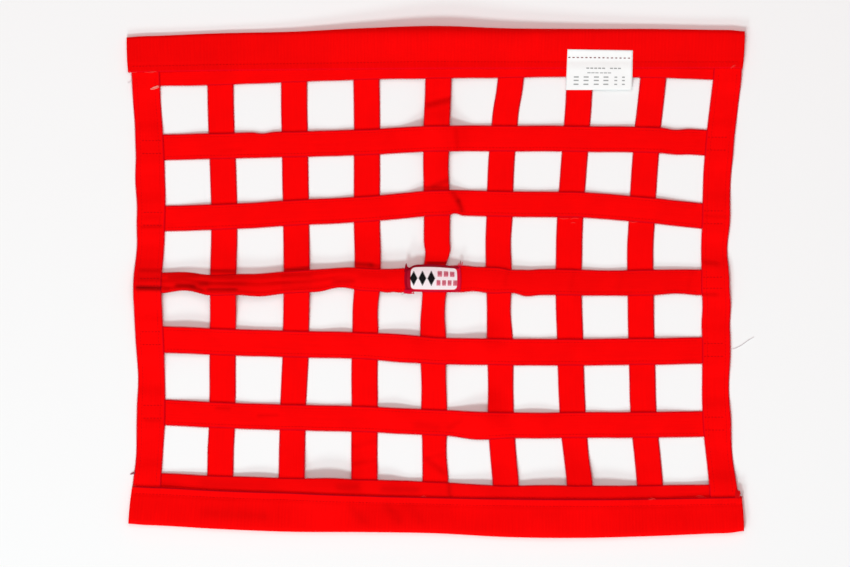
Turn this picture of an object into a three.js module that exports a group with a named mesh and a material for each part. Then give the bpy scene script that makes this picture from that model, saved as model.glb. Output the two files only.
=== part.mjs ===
// A racing window net: webbing straps sewn into a grid between two rod sleeves.
// It lies face up on a flat surface and keeps the folds of its packing.
// Millimetres. X runs along the rows, Y up the net to the top sleeve, Z up from the surface.
import * as THREE from 'three';

// Webbing
const THICKNESS = 1.4;
const LAYER = 1.9; // one strap and the gap to the next one
const INNER_WIDTH = 25.8;
const OUTER_WIDTH = 28;
const ROW_WIDTH = 26;
const BORDER_WIDTH = 22;

// The even grid that the straps keep near to
const PITCH_X = 71;
const PITCH_Y = 69;
const UPRIGHT_COUNT = 9;
const MIDDLE_UPRIGHT = 4;
const MIDDLE_ROW = 3;

// How far each upright lies to the right of its place in the even grid, down the net
const UPRIGHT_SHIFTS = [
  { top: -2, row1: 2, row2: 3.5, row3: 0, row4: 2.5, row5: 3, foot: -2.5 },
  { top: 0.5, row1: 2, row2: 4.5, row3: 3.5, row4: 3, row5: 2.5, foot: 0.5 },
  { top: 2, row1: 3, row2: 4, row3: 5, row4: 3.5, row5: 1.5, foot: -0.5 },
  { top: 2.5, row1: 3, row2: 3, row3: 3.5, row4: 1, row5: 0.5, foot: 0.5 },
  { top: 2.5, row1: 0.5, row2: 1, row3: 0, row4: -3, row5: -1.5, foot: -0.5 },
  { top: 3, row1: -5, row2: -8.5, row3: -9, row4: -8, row5: -7, foot: -2 },
  { top: 0, row1: -4.5, row2: -9.5, row3: -11.5, row4: -9.5, row5: -7, foot: 0 },
  { top: 1, row1: -5.5, row2: -10, row3: -11.5, row4: -10.5, row5: -8, foot: -2 },
  { top: 3, row1: -4.5, row2: -8, row3: -9, row4: -8, row5: -7.5, foot: -1 },
];

// How far each row lies above its place in the even grid, from the left upright to the right
const ROW_SHIFTS = [
  { name: 'border_top', u0: -4.5, u1: -3.2, u2: -0.7, u3: 2, u4: 2.9, u5: 3.9, u6: 4.6, u7: 3.9, u8: 1.5 },
  { name: 'row_1', u0: -5.5, u1: -4, u2: -2, u3: 0, u4: 3.5, u5: 3.5, u6: 3.5, u7: 2.5, u8: -1 },
  { name: 'row_2', u0: -7, u1: -5, u2: -0.5, u3: 4, u4: 9.5, u5: 8, u6: 7, u7: 2, u8: -4 },
  { name: 'row_3', u0: -0.5, u1: -3, u2: 0, u3: 3.5, u4: 3, u5: 1.5, u6: -0.5, u7: -0.5, u8: -0.5 },
  { name: 'row_4', u0: 13, u1: 10, u2: 8, u3: 6, u4: 1.5, u5: 0, u6: 0, u7: 0.5, u8: 2 },
  { name: 'row_5', u0: 10, u1: 7, u2: 4.5, u3: 3, u4: -0.5, u5: -3, u6: -3, u7: -2.5, u8: -1.5 },
  { name: 'border_foot', u0: 8.4, u1: 5.4, u2: 3, u3: 1.5, u4: -0.5, u5: -2.3, u6: -1, u7: -2, u8: -3 },
];

// Where each row's cut ends lie
const ROW_ENDS = [
  { left: -298, right: 299 },
  { left: -294.5, right: 292 },
  { left: -293, right: 288.5 },
  { left: -296.5, right: 287.5 },
  { left: -294, right: 288.5 },
  { left: -293.5, right: 288.5 },
  { left: -298.5, right: 299.5 },
];

// The rod sleeves at each upright: folded outer edge, raw edge, and height inside
const SLEEVES = [
  {
    name: 'sleeve_top',
    leftFold: -304, leftRaw: -300.5, rightFold: 304, rightRaw: 300.5,
    leftDroop: 0.5, rightDroop: 1,
    stations: [
      { fold: 242.3, raw: 206.9, inside: 9.2 },
      { fold: 245, raw: 208, inside: 9 },
      { fold: 247.2, raw: 208.8, inside: 9.2 },
      { fold: 250.2, raw: 209.3, inside: 10.5 },
      { fold: 252, raw: 209.8, inside: 12 },
      { fold: 250.4, raw: 210, inside: 10.5 },
      { fold: 249.2, raw: 210.2, inside: 9.4 },
      { fold: 249.2, raw: 210.3, inside: 9.2 },
      { fold: 248.2, raw: 210.5, inside: 9.6 },
    ],
  },
  {
    name: 'sleeve_foot',
    leftFold: -304, leftRaw: -296.5, rightFold: 304, rightRaw: 297.5,
    leftDroop: 2, rightDroop: 2.5,
    stations: [
      { fold: -239.4, raw: -202.9, inside: 9.6 },
      { fold: -243.3, raw: -205.7, inside: 9.6 },
      { fold: -246, raw: -208.4, inside: 9.2 },
      { fold: -246.3, raw: -210.6, inside: 9.8 },
      { fold: -247.5, raw: -212, inside: 9.4 },
      { fold: -251.2, raw: -214.1, inside: 10 },
      { fold: -252, raw: -215.7, inside: 9.6 },
      { fold: -250.2, raw: -213.3, inside: 10 },
      { fold: -247.4, raw: -211.6, inside: 9.6 },
    ],
  },
];
const SEAM_INSET = 7; // from a sleeve's raw edge to its seam
const DROOP_REACH = 16; // how far from a corner its fold draws in
const END_PAST_SEAM = 3; // uprights end this far inside a sleeve
const SLEEVE_SEAM_LAYERS = 3; // back leg, upright and border strap under the front leg
const FRONT_LEG_SHARES = [0, 0.4, 0.7, 1]; // points from a sleeve's fold to its seam

// The fold across the net along row 3: a broad tent, with a narrow crown on it
const ACROSS_FOLD = [
  { x: -300, tent: 6, crown: 3.5 },
  { x: -200, tent: 6.5, crown: 4 },
  { x: -100, tent: 6, crown: 4 },
  { x: -30, tent: 4.5, crown: 3.5 },
  { x: 45, tent: 2.5, crown: 1.5 },
  { x: 160, tent: 1.5, crown: 0.8 },
  { x: 300, tent: 2, crown: 1.2 },
];
const TENT_REACH = 58;
const CROWN_REACH = 26;

// The fold down the net along its middle upright
const DOWN_FOLD = [
  { y: 260, tent: 0, reach: 90 },
  { y: 228, tent: 0.8, reach: 90 },
  { y: 185, tent: 3, reach: 75 },
  { y: 138, tent: 4, reach: 58 },
  { y: 69, tent: 3.5, reach: 50 },
  { y: 0, tent: 1, reach: 50 },
  { y: -69, tent: 3.5, reach: 55 },
  { y: -138, tent: 3.5, reach: 55 },
  { y: -200, tent: 1, reach: 55 },
  { y: -225, tent: 0, reach: 55 },
];

// Low swells where a stretch of strap stands off the surface
const SWELLS = [
  { x: -248, y: -58, height: 4, reach: 50 },
  { x: -107, y: -186, height: 4, reach: 40 },
  { x: 175, y: -190, height: 2.5, reach: 38 },
];

// How row 3 gathers across its width where the fold is highest
const GATHER = [
  { x: -300, share: 0.22 },
  { x: -240, share: 0.24 },
  { x: -110, share: 0.15 },
  { x: -30, share: 0.05 },
  { x: 60, share: 0 },
  { x: 300, share: 0.03 },
];

// Drape of a strap off the strap below it
const EDGE_MARGIN = 1.5; // stays level this far past the strap below
const DROP_RUN = 15; // an outer upright comes down to the surface over this run
const HEM_RUN = 40; // straps climb on to a sleeve's back leg over this run
const ROW_SAG = 0.9; // dip of a row between two uprights

// Sewn pieces on the face
const PATCH = { x: -3, width: 52, height: 26, thickness: 1, along: 10, across: 6 };
const TAG = {
  left: 129.5, right: 193.5, top: 228.5, bottom: 189.2,
  thickness: 1, gap: 0.5, drop: 2.4, along: 8, across: 10,
};

// Mesh steps
const STEP = 13;
const OUTER_STEP = 9;
const FINE_STEP = 4.5;
const MIDDLE_STEP = 7;
const FINE_HALF = 24;
const MIDDLE_HALF = 60;
const SLEEVE_STEPS = 36;
const FOLD_ARC_STEPS = 6;

// Finishes
const STRAP = { color: new THREE.Color(0.83, 0.01, 0.02), roughness: 0.75 };
const SLEEVE = { color: new THREE.Color(0.83, 0.01, 0.02), roughness: 0.8 };
const LABEL = { color: new THREE.Color(0.9, 0.9, 0.9), roughness: 0.65 };

const clamp = THREE.MathUtils.clamp;
const ease = (t) => THREE.MathUtils.smoothstep(t, 0, 1);
const mix = THREE.MathUtils.lerp;

// A smooth value through evenly spaced stations, carried on straight past both ends
function throughStations(values, t) {
  const last = values.length - 1;
  if (t <= 0) return values[0] + t * (values[1] - values[0]);
  if (t >= last) return values[last] + (t - last) * (values[last] - values[last - 1]);
  const i = Math.min(Math.floor(t), last - 1);
  const before = values[Math.max(i - 1, 0)];
  const after = values[Math.min(i + 2, last)];
  const f = t - i;
  const slopeIn = (values[i + 1] - before) / 2;
  const slopeOut = (after - values[i]) / 2;
  const rise = values[i + 1] - values[i];
  const bend = 3 * rise - 2 * slopeIn - slopeOut;
  return values[i] + f * (slopeIn + f * (bend + f * (slopeIn + slopeOut - 2 * rise)));
}

// An eased value between the rows of a table, read by its place column
function fromTable(table, place, column, at) {
  const rising = table[0][place] < table[1][place];
  const rows = rising ? table : [...table].reverse();
  if (at <= rows[0][place]) return rows[0][column];
  const next = rows.findIndex((row) => row[place] > at);
  if (next < 0) return rows[rows.length - 1][column];
  const low = rows[next - 1];
  const high = rows[next];
  return mix(low[column], high[column], ease((at - low[place]) / (high[place] - low[place])));
}

// A rounded bump: 1 at its middle, 0 at its reach
function bump(distance, reach) {
  const t = clamp(Math.abs(distance) / reach, 0, 1);
  return (1 + Math.cos(Math.PI * t)) / 2;
}

function uprightCentre(index, y) {
  const shift = throughStations(Object.values(UPRIGHT_SHIFTS[index]), MIDDLE_ROW - y / PITCH_Y);
  return (index - MIDDLE_UPRIGHT) * PITCH_X + shift;
}

function rowCentre(index, x) {
  const { name, ...shifts } = ROW_SHIFTS[index];
  const shift = throughStations(Object.values(shifts), MIDDLE_UPRIGHT + x / PITCH_X);
  return (MIDDLE_ROW - index) * PITCH_Y + shift;
}

const isBorder = (index) => index === 0 || index === ROW_SHIFTS.length - 1;
const isOuter = (index) => index === 0 || index === UPRIGHT_COUNT - 1;
const uprightWidth = (index) => (isOuter(index) ? OUTER_WIDTH : INNER_WIDTH);

function rowWidth(index, x) {
  if (isBorder(index)) return BORDER_WIDTH;
  if (index !== MIDDLE_ROW) return ROW_WIDTH;
  return ROW_WIDTH * (1 - fromTable(GATHER, 'x', 'share', x));
}

function sleeveEdge(sleeve, column, x) {
  const values = sleeve.stations.map((station) => station[column]);
  return throughStations(values, MIDDLE_UPRIGHT + x / PITCH_X);
}

// Height of the cloth's underside over the surface, from its folds and swells
function lift(x, y) {
  const fromRow = y - rowCentre(MIDDLE_ROW, x);
  let height = fromTable(ACROSS_FOLD, 'x', 'tent', x) * bump(fromRow, TENT_REACH);
  height += fromTable(ACROSS_FOLD, 'x', 'crown', x) * bump(fromRow, CROWN_REACH);
  const reach = fromTable(DOWN_FOLD, 'y', 'reach', y);
  height += fromTable(DOWN_FOLD, 'y', 'tent', y) * bump(x, reach);
  for (const swell of SWELLS) {
    height += swell.height * bump(Math.hypot(x - swell.x, y - swell.y), swell.reach);
  }
  return height;
}

// Height of the lowest strap: the lift, and the climb on to a sleeve's back leg
function ground(x, y) {
  const sleeve = y > 0 ? SLEEVES[0] : SLEEVES[1];
  const inside = Math.abs(sleeveEdge(sleeve, 'raw', x)) - Math.abs(y);
  return lift(x, y) + LAYER * (1 - ease(inside / HEM_RUN));
}

// How far a row stands over the uprights' layer: level over the inner uprights, dipping
// between them, and down under the outer ones
function rowOffset(index, x) {
  const t = clamp(x / PITCH_X + MIDDLE_UPRIGHT, 0, UPRIGHT_COUNT - 1);
  const left = Math.min(Math.floor(t), UPRIGHT_COUNT - 2);
  const y = rowCentre(index, x);
  const from = uprightCentre(left, y) + uprightWidth(left) / 2 + EDGE_MARGIN;
  const to = uprightCentre(left + 1, y) - uprightWidth(left + 1) / 2 - EDGE_MARGIN;
  const f = clamp((x - from) / (to - from), 0, 1);
  if (isOuter(left)) return LAYER * ease(f);
  if (isOuter(left + 1)) return LAYER * (1 - ease(f));
  return LAYER - ROW_SAG * bump(f - 0.5, 0.5);
}

// How far an outer upright stands over its layer, where it lies on the ends of the rows
function outerOffset(index, y) {
  let offset = 0;
  ROW_SHIFTS.forEach((row, r) => {
    const x = uprightCentre(index, y);
    const past = Math.abs(y - rowCentre(r, x)) - rowWidth(r, x) / 2 - EDGE_MARGIN;
    const onRow = isBorder(r) && Math.abs(y) > Math.abs(rowCentre(r, x)) ? 0 : past;
    offset = Math.max(offset, LAYER * (1 - ease(onRow / DROP_RUN)));
  });
  return offset;
}

// A closed solid between an under skin and an upper skin, each a grid of points
function sheetSolid(along, across, place) {
  const positions = [];
  for (const upper of [false, true]) {
    for (const u of along) {
      for (const v of across) positions.push(...place(u, v, upper));
    }
  }
  const width = across.length;
  const skin = along.length * width;
  const id = (upper, i, j) => (upper ? skin : 0) + i * width + j;
  const faces = [];
  const quad = (a, b, c, d) => faces.push([a, b, c], [a, c, d]);
  for (let i = 0; i < along.length - 1; i++) {
    for (let j = 0; j < width - 1; j++) {
      quad(id(true, i, j), id(true, i + 1, j), id(true, i + 1, j + 1), id(true, i, j + 1));
      quad(id(false, i, j), id(false, i, j + 1), id(false, i + 1, j + 1), id(false, i + 1, j));
    }
    const end = width - 1;
    quad(id(false, i, 0), id(false, i + 1, 0), id(true, i + 1, 0), id(true, i, 0));
    quad(id(false, i, end), id(true, i, end), id(true, i + 1, end), id(false, i + 1, end));
  }
  const far = along.length - 1;
  for (let j = 0; j < width - 1; j++) {
    quad(id(false, 0, j), id(true, 0, j), id(true, 0, j + 1), id(false, 0, j + 1));
    quad(id(false, far, j), id(false, far, j + 1), id(true, far, j + 1), id(true, far, j));
  }
  if (signedVolume(positions, faces) < 0) faces.forEach((face) => face.reverse());
  const geometry = new THREE.BufferGeometry();
  geometry.setAttribute('position', new THREE.Float32BufferAttribute(positions, 3));
  geometry.setIndex(faces.flat());
  geometry.computeVertexNormals();
  return geometry;
}

function signedVolume(positions, faces) {
  const corner = (index) => new THREE.Vector3().fromArray(positions, index * 3);
  let volume = 0;
  for (const [a, b, c] of faces) volume += corner(a).dot(corner(b).cross(corner(c)));
  return volume;
}

// Even fractions from 0 to 1
const fractions = (count) => Array.from({ length: count + 1 }, (_, i) => i / count);

// Places along a strap, closer together where the folds bend it most
function placesAlong(from, to, step, fineStep) {
  const edges = [from, -MIDDLE_HALF, -FINE_HALF, FINE_HALF, MIDDLE_HALF, to];
  const steps = [step, MIDDLE_STEP, fineStep, MIDDLE_STEP, step];
  const places = [from];
  steps.forEach((longest, i) => {
    const count = Math.ceil((edges[i + 1] - edges[i]) / longest);
    for (let k = 1; k <= count; k++) places.push(mix(edges[i], edges[i + 1], k / count));
  });
  return places;
}

function uprightSolid(index) {
  const gridX = (index - MIDDLE_UPRIGHT) * PITCH_X;
  const footEnd = sleeveEdge(SLEEVES[1], 'raw', gridX) - SEAM_INSET - END_PAST_SEAM;
  const topEnd = sleeveEdge(SLEEVES[0], 'raw', gridX) + SEAM_INSET + END_PAST_SEAM;
  const places = placesAlong(footEnd, topEnd, isOuter(index) ? OUTER_STEP : STEP, FINE_STEP);
  return sheetSolid(places, fractions(2), (y, across, upper) => {
    const x = uprightCentre(index, y) + (across - 0.5) * uprightWidth(index);
    const offset = isOuter(index) ? outerOffset(index, y) : 0;
    return [x, y, ground(x, y) + offset + (upper ? THICKNESS : 0)];
  });
}

function rowSolid(index) {
  const { left, right } = ROW_ENDS[index];
  const places = placesAlong(left, right, STEP, MIDDLE_STEP);
  const columns = index === MIDDLE_ROW ? 6 : 2;
  return sheetSolid(places, fractions(columns), (x, across, upper) => {
    const y = rowCentre(index, x) + (across - 0.5) * rowWidth(index, x);
    return [x, y, ground(x, y) + rowOffset(index, x) + (upper ? THICKNESS : 0)];
  });
}

// A sleeve's section from the back leg's raw edge, round the fold, to the front leg's raw
// edge: how far in from the fold each point lies, and how high
function sleeveSection(depth, inside) {
  const seam = depth - SEAM_INSET;
  const seamHeight = SLEEVE_SEAM_LAYERS * LAYER;
  const outerRadius = inside / 2 + THICKNESS;
  const section = [depth, seam, outerRadius].map((inset) => ({
    inner: [inset, THICKNESS],
    outer: [inset, 0],
  }));
  for (let k = 1; k < FOLD_ARC_STEPS; k++) {
    const angle = Math.PI * (k / FOLD_ARC_STEPS - 0.5);
    const round = (radius) => [
      outerRadius - radius * Math.cos(angle),
      outerRadius + radius * Math.sin(angle),
    ];
    section.push({ inner: round(inside / 2), outer: round(outerRadius) });
  }
  for (const share of FRONT_LEG_SHARES) {
    const inset = mix(outerRadius, seam, share);
    const under = mix(THICKNESS + inside, seamHeight, ease(share));
    section.push({ inner: [inset, under], outer: [inset, under + THICKNESS] });
  }
  section.push({ inner: [depth, seamHeight], outer: [depth, seamHeight + THICKNESS] });
  return section;
}

function sleeveSolid(sleeve) {
  const inward = Math.sign(-sleeve.stations[0].fold);
  const pointCount = sleeveSection(1, 1).length;
  const points = Array.from({ length: pointCount }, (_, i) => i);
  return sheetSolid(fractions(SLEEVE_STEPS), points, (u, point, outer) => {
    const foldX = mix(sleeve.leftFold, sleeve.rightFold, u);
    const rawX = mix(sleeve.leftRaw, sleeve.rightRaw, u);
    const raw = sleeveEdge(sleeve, 'raw', foldX);
    const fold = sleeveEdge(sleeve, 'fold', foldX) + inward * sleeveDroop(sleeve, foldX);
    const depth = Math.abs(fold - raw);
    const section = sleeveSection(depth, sleeveEdge(sleeve, 'inside', foldX));
    const [inset, height] = section[point][outer ? 'outer' : 'inner'];
    const x = mix(foldX, rawX, inset / depth);
    const y = fold + inward * inset;
    return [x, y, lift(x, y) + height];
  });
}

function sleeveDroop(sleeve, x) {
  const left = sleeve.leftDroop * bump(x - sleeve.leftFold, DROOP_REACH);
  const right = sleeve.rightDroop * bump(sleeve.rightFold - x, DROOP_REACH);
  return left + right;
}

// The small woven patch on the middle crossing
function patchSolid() {
  return sheetSolid(fractions(PATCH.along), fractions(PATCH.across), (u, v, upper) => {
    const x = PATCH.x + (u - 0.5) * PATCH.width;
    const y = rowCentre(MIDDLE_ROW, x) + (v - 0.5) * PATCH.height;
    const under = ground(x, y) + rowOffset(MIDDLE_ROW, x) + LAYER;
    return [x, y, under + (upper ? PATCH.thickness : 0)];
  });
}

// The sewn tag: flat on the top sleeve, then hanging over its raw edge towards the net
function tagSolid() {
  const sleeve = SLEEVES[0];
  return sheetSolid(fractions(TAG.along), fractions(TAG.across), (u, v, upper) => {
    const x = mix(TAG.left, TAG.right, u);
    const y = mix(TAG.bottom, TAG.top, v);
    const raw = sleeveEdge(sleeve, 'raw', x);
    const fold = sleeveEdge(sleeve, 'fold', x);
    const section = sleeveSection(fold - raw, sleeveEdge(sleeve, 'inside', x));
    const frontLeg = section.slice(-FRONT_LEG_SHARES.length - 1);
    const legTop = frontLeg.map(({ outer }) => ({ inset: outer[0], height: outer[1] }));
    const onLeg = straightThrough(legTop, fold - y);
    const hang = TAG.drop * clamp((raw - y) / (raw - TAG.bottom), 0, 1);
    const under = lift(x, y) + onLeg + TAG.gap - hang;
    return [x, y, under + (upper ? TAG.thickness : 0)];
  });
}

// The height of a straight-sided profile at an inset
function straightThrough(profile, inset) {
  const next = profile.findIndex((point) => point.inset > inset);
  if (next < 0) return profile[profile.length - 1].height;
  if (next === 0) return profile[0].height;
  const low = profile[next - 1];
  const high = profile[next];
  return mix(low.height, high.height, (inset - low.inset) / (high.inset - low.inset));
}

function addPiece(net, name, geometry, finish) {
  const material = new THREE.MeshStandardMaterial({ ...finish, metalness: 0 });
  const mesh = new THREE.Mesh(geometry, material);
  mesh.name = name;
  net.add(mesh);
}

const net = new THREE.Group();
for (let i = 0; i < UPRIGHT_COUNT; i++) {
  addPiece(net, `upright_${i + 1}`, uprightSolid(i), STRAP);
}
ROW_SHIFTS.forEach((row, i) => addPiece(net, row.name, rowSolid(i), STRAP));
SLEEVES.forEach((sleeve) => addPiece(net, sleeve.name, sleeveSolid(sleeve), SLEEVE));
addPiece(net, 'centre_patch', patchSolid(), LABEL);
addPiece(net, 'sewn_tag', tagSolid(), LABEL);

export default net;
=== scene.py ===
import math
from collections import namedtuple

import bpy
import numpy as np
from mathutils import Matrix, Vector


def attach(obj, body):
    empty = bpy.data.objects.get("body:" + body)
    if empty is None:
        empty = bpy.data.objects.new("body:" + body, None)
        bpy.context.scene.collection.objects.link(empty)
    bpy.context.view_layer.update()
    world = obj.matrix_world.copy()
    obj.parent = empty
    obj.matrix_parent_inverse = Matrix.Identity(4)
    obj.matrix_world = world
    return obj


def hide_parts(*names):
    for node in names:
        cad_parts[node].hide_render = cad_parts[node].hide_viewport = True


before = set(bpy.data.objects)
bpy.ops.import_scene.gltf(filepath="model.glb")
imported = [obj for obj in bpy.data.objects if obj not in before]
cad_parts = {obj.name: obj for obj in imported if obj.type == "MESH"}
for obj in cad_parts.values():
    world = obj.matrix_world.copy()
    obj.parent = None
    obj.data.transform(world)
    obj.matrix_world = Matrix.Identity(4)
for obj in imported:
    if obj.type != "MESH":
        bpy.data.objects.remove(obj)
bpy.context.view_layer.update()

MM = 0.001

# One pixel of the photograph is 0.985 mm, and this one is over the middle of the net
PHOTO_WIDTH = 850
PHOTO_HEIGHT = 567
PIXEL = 0.985
CENTRE_PX = 436
CENTRE_PY = 282

# Webbing
THICKNESS = 1.5
LAYER = 1.6  # from one strap's underside to the next one's
INNER_WIDTH = 25.2
OUTER_WIDTH = 27.4
ROW_WIDTH = 26

# The even grid that the straps keep near to
PITCH_X = 71
PITCH_Y = 69
UPRIGHT_COUNT = 9
MIDDLE_UPRIGHT = 4
MIDDLE_ROW = 3
LAST_ROW = 6

# How far each upright lies to the right of its place in the even grid, down the net:
# at the top, rows 1 to 5 and the foot
UPRIGHT_SHIFTS = [
    (-2, 2, 3.5, 0, 2.5, 3, -1),
    (0.5, 2, 4.5, 3.5, 3, 2.5, 0.5),
    (2, 3, 4, 5, 3.5, 1.5, -0.5),
    (2.5, 3, 3, 3.5, 1, 0.5, 0.5),
    (2.5, 0.5, 1, 0, -3, -1.5, -0.5),
    (3, -5, -8.5, -9, -8, -7, -2),
    (0, -4.5, -9.5, -11.5, -9.5, -7, 0),
    (1, -5.5, -10, -11.5, -10.5, -8, -2),
    (3, -4.5, -8, -9, -8, -7.5, -1),
]

# Each row's width, and how far it lies above its place in the even grid at uprights 1 to 9
Row = namedtuple("Row", "node width shifts")
ROWS = [
    Row("border_top", 19, (-4.5, -3.2, -0.7, 2, 2.9, 3.9, 4.6, 3.9, 1.5)),
    Row("row_1", 25, (-5.5, -4.2, -2.3, -0.5, 3.2, 3.2, 3, 1.8, -1.6)),
    Row("row_2", 24.8, (-6.9, -4.9, -1, 2.7, 8.6, 7.7, 6.9, 1.2, -5.4)),
    Row("row_3", 25.6, (-0.5, -3, 0, 3.5, 3, 1.5, -0.5, -0.5, -0.5)),
    Row("row_4", 25.8, (13, 10, 8, 6, 1.5, 0, 0, 0.5, 2)),
    Row("row_5", 25, (10, 7, 4.5, 3, -0.5, -3, -3, -2.5, -1.5)),
    Row("border_foot", 22, (8.2, 4.9, 2.8, 1.3, -1, -4.8, -4.6, -4.4, -3.6)),
]
ROW_END_INSET = 2.5  # from the outer edge of an outer upright, which covers the cut end

# The rod sleeves at uprights 1 to 9: folded outer edge, raw edge and height inside. Then where
# both edges end, how far the fold's ends droop, how far a leg's raw edge curls up past its seam
# and how deep the seam pulls it in
Sleeve = namedtuple(
    "Sleeve",
    "node fold raw inside left_fold left_raw right_fold right_raw left_droop right_droop"
    " edge_lift seam_pull",
)
TOP_SLEEVE = Sleeve(
    "sleeve_top",
    (242.3, 245, 246.5, 249.9, 252, 249.7, 249.2, 249.2, 248.2),
    (206.9, 208, 208.8, 209.3, 209.8, 210, 210.2, 210.3, 210.5),
    (2.4, 2.6, 4.8, 9.5, 14.2, 11.5, 8, 6, 5.5),
    -304.6, -303.2, 304, 302, 0.5, 1, 0.1, 0.3,
)
FOOT_SLEEVE = Sleeve(
    "sleeve_foot",
    (-239.4, -243.3, -246, -246.3, -247.5, -251.2, -252, -250.2, -247.4),
    (-201.9, -205.3, -207.5, -210.2, -212, -213.2, -213.6, -213.3, -212),
    (5.5, 5.5, 5.5, 6, 6, 6, 6, 6, 6),
    -302.9, -299.1, 303.2, 300.9, 0.4, 1.4, 0.7, 0.8,
)
SEAM_INSET = 7
DROOP_REACH = 16
END_BULGE = 0.5
END_PAST_SEAM = 3

# The fold across the net along row 3: a broad tent, with a narrow crown on it, and how far
# below the row's middle its crest runs
ACROSS_X = (-300, -200, -100, -30, 45, 160, 300)
ACROSS_TENT = (4.5, 7, 5, 5, 2.5, 0.6, 2)
ACROSS_CROWN = (3, 5, 1.5, 5, 1.5, 0.2, 1.2)
ACROSS_BELOW = (8, 8, 3, 0, 0, 0, 0)
TENT_REACH = 58
CROWN_REACH = 26

# The fold down the net along its middle upright
DOWN_Y = (-225, -200, -138, -69, 0, 69, 120, 155, 190, 228, 260)
DOWN_TENT = (0, 1, 0.5, 3.5, 1, 5, 7, 10, 3, 0.8, 0)
DOWN_REACH = (55, 55, 55, 55, 50, 34, 36, 42, 70, 90, 90)

# Low swells where a stretch of strap stands off the surface: their x, y, height and reach
SWELLS = [
    (-252, -60, 6, 50), (-95, -52, 2.5, 26), (-38, -56, 4, 34), (42, -58, 5, 30),
    (-42, -125, 4, 28), (42, -130, 8, 36), (98, -130, 3.5, 30), (-175, -198, 3.5, 32),
    (-108, -198, 10, 50), (-50, -198, 4, 26), (45, -207, 4, 36), (110, -208, 6.5, 55),
    (168, -208, 6.5, 50), (275, -207, 3.5, 40),
]

# How row 3 gathers across its width where the fold is highest
GATHER_X = (-300, -240, -110, -30, 60, 300)
GATHER_SHARE = (0.22, 0.24, 0.15, 0.05, 0, 0.03)

# Where a strap's edges draw in: its place along the strap in the photograph's pixels, its reach
# in mm, and how far in its upper or right edge goes and its lower or left one
PINCHES = {
    "row_1": [(263, 12, 1.4, 0), (675, 16, 1.6, -0.7)],
    "row_2": [(455, 9, 0, 2)],
    "row_3": [
        (186, 26, -1.8, 3.8), (262, 26, 0.8, -2), (340, 24, -0.3, 3.4), (387, 8, 0, -0.8),
        (388, 42, 3.3, -1.2), (400, 7, 0, -0.7), (461, 16, -1, 0), (475, 16, 0, 1.6),
        (511, 16, 1.6, 1.2), (527, 14, 0.8, -1.4), (530, 32, 1.4, -0.8), (608, 34, 0.9, 0),
        (675, 26, 0, 1.6),
    ],
    "row_4": [(400, 40, -0.9, -0.6)],
    "row_5": [(479, 36, 0, -2.2)],
    "border_foot": [(330, 36, -1, 0), (545, 36, -0.8, 0)],
    "upright_1": [
        (112, 40, 0.8, 0), (182, 30, 0, -1.4), (250, 30, -0.6, 1.6), (375, 36, 0, 1.6),
        (456, 36, 0, 1.6),
    ],
    "upright_9": [
        (190, 36, 0.9, 0), (250, 34, 2.3, -0.2), (306, 22, -1.2, 1.1), (386, 36, 1.4, 0),
        (458, 40, 1.6, 0.4),
    ],
    "upright_5": [
        (170, 30, 1.4, -0.5), (254, 14, -1.2, 1.6), (268, 22, 3.6, 0.4), (302, 26, 3, -0.4),
        (322, 20, 1.8, -0.8), (382, 34, 0.2, 1.2), (452, 34, 1.8, 0.2),
    ],
    "upright_4": [(310, 30, 1.6, -0.8)],
    "upright_6": [
        (110, 22, 0.9, -0.7), (246, 34, 1.2, -0.4), (310, 34, 1.5, 0.9), (385, 34, 0, 0.9),
    ],
    "upright_2": [(452, 40, 0.9, -0.9)],
    "upright_3": [(415, 60, 0.8, -0.5)],
    "upright_7": [(458, 34, 0.9, 0)],
    "upright_8": [(248, 40, 0.7, -0.7)],
}

# Drape of a strap off the strap below it
EDGE_MARGIN = 1.5
DROP_RUN = 14
HEM_RUN = 40
ROW_SAG = 0.7
SEAT = THICKNESS / 2 + 0.12  # a strap's middle over what it lies on
FLOOR_GAP = 0.02

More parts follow.
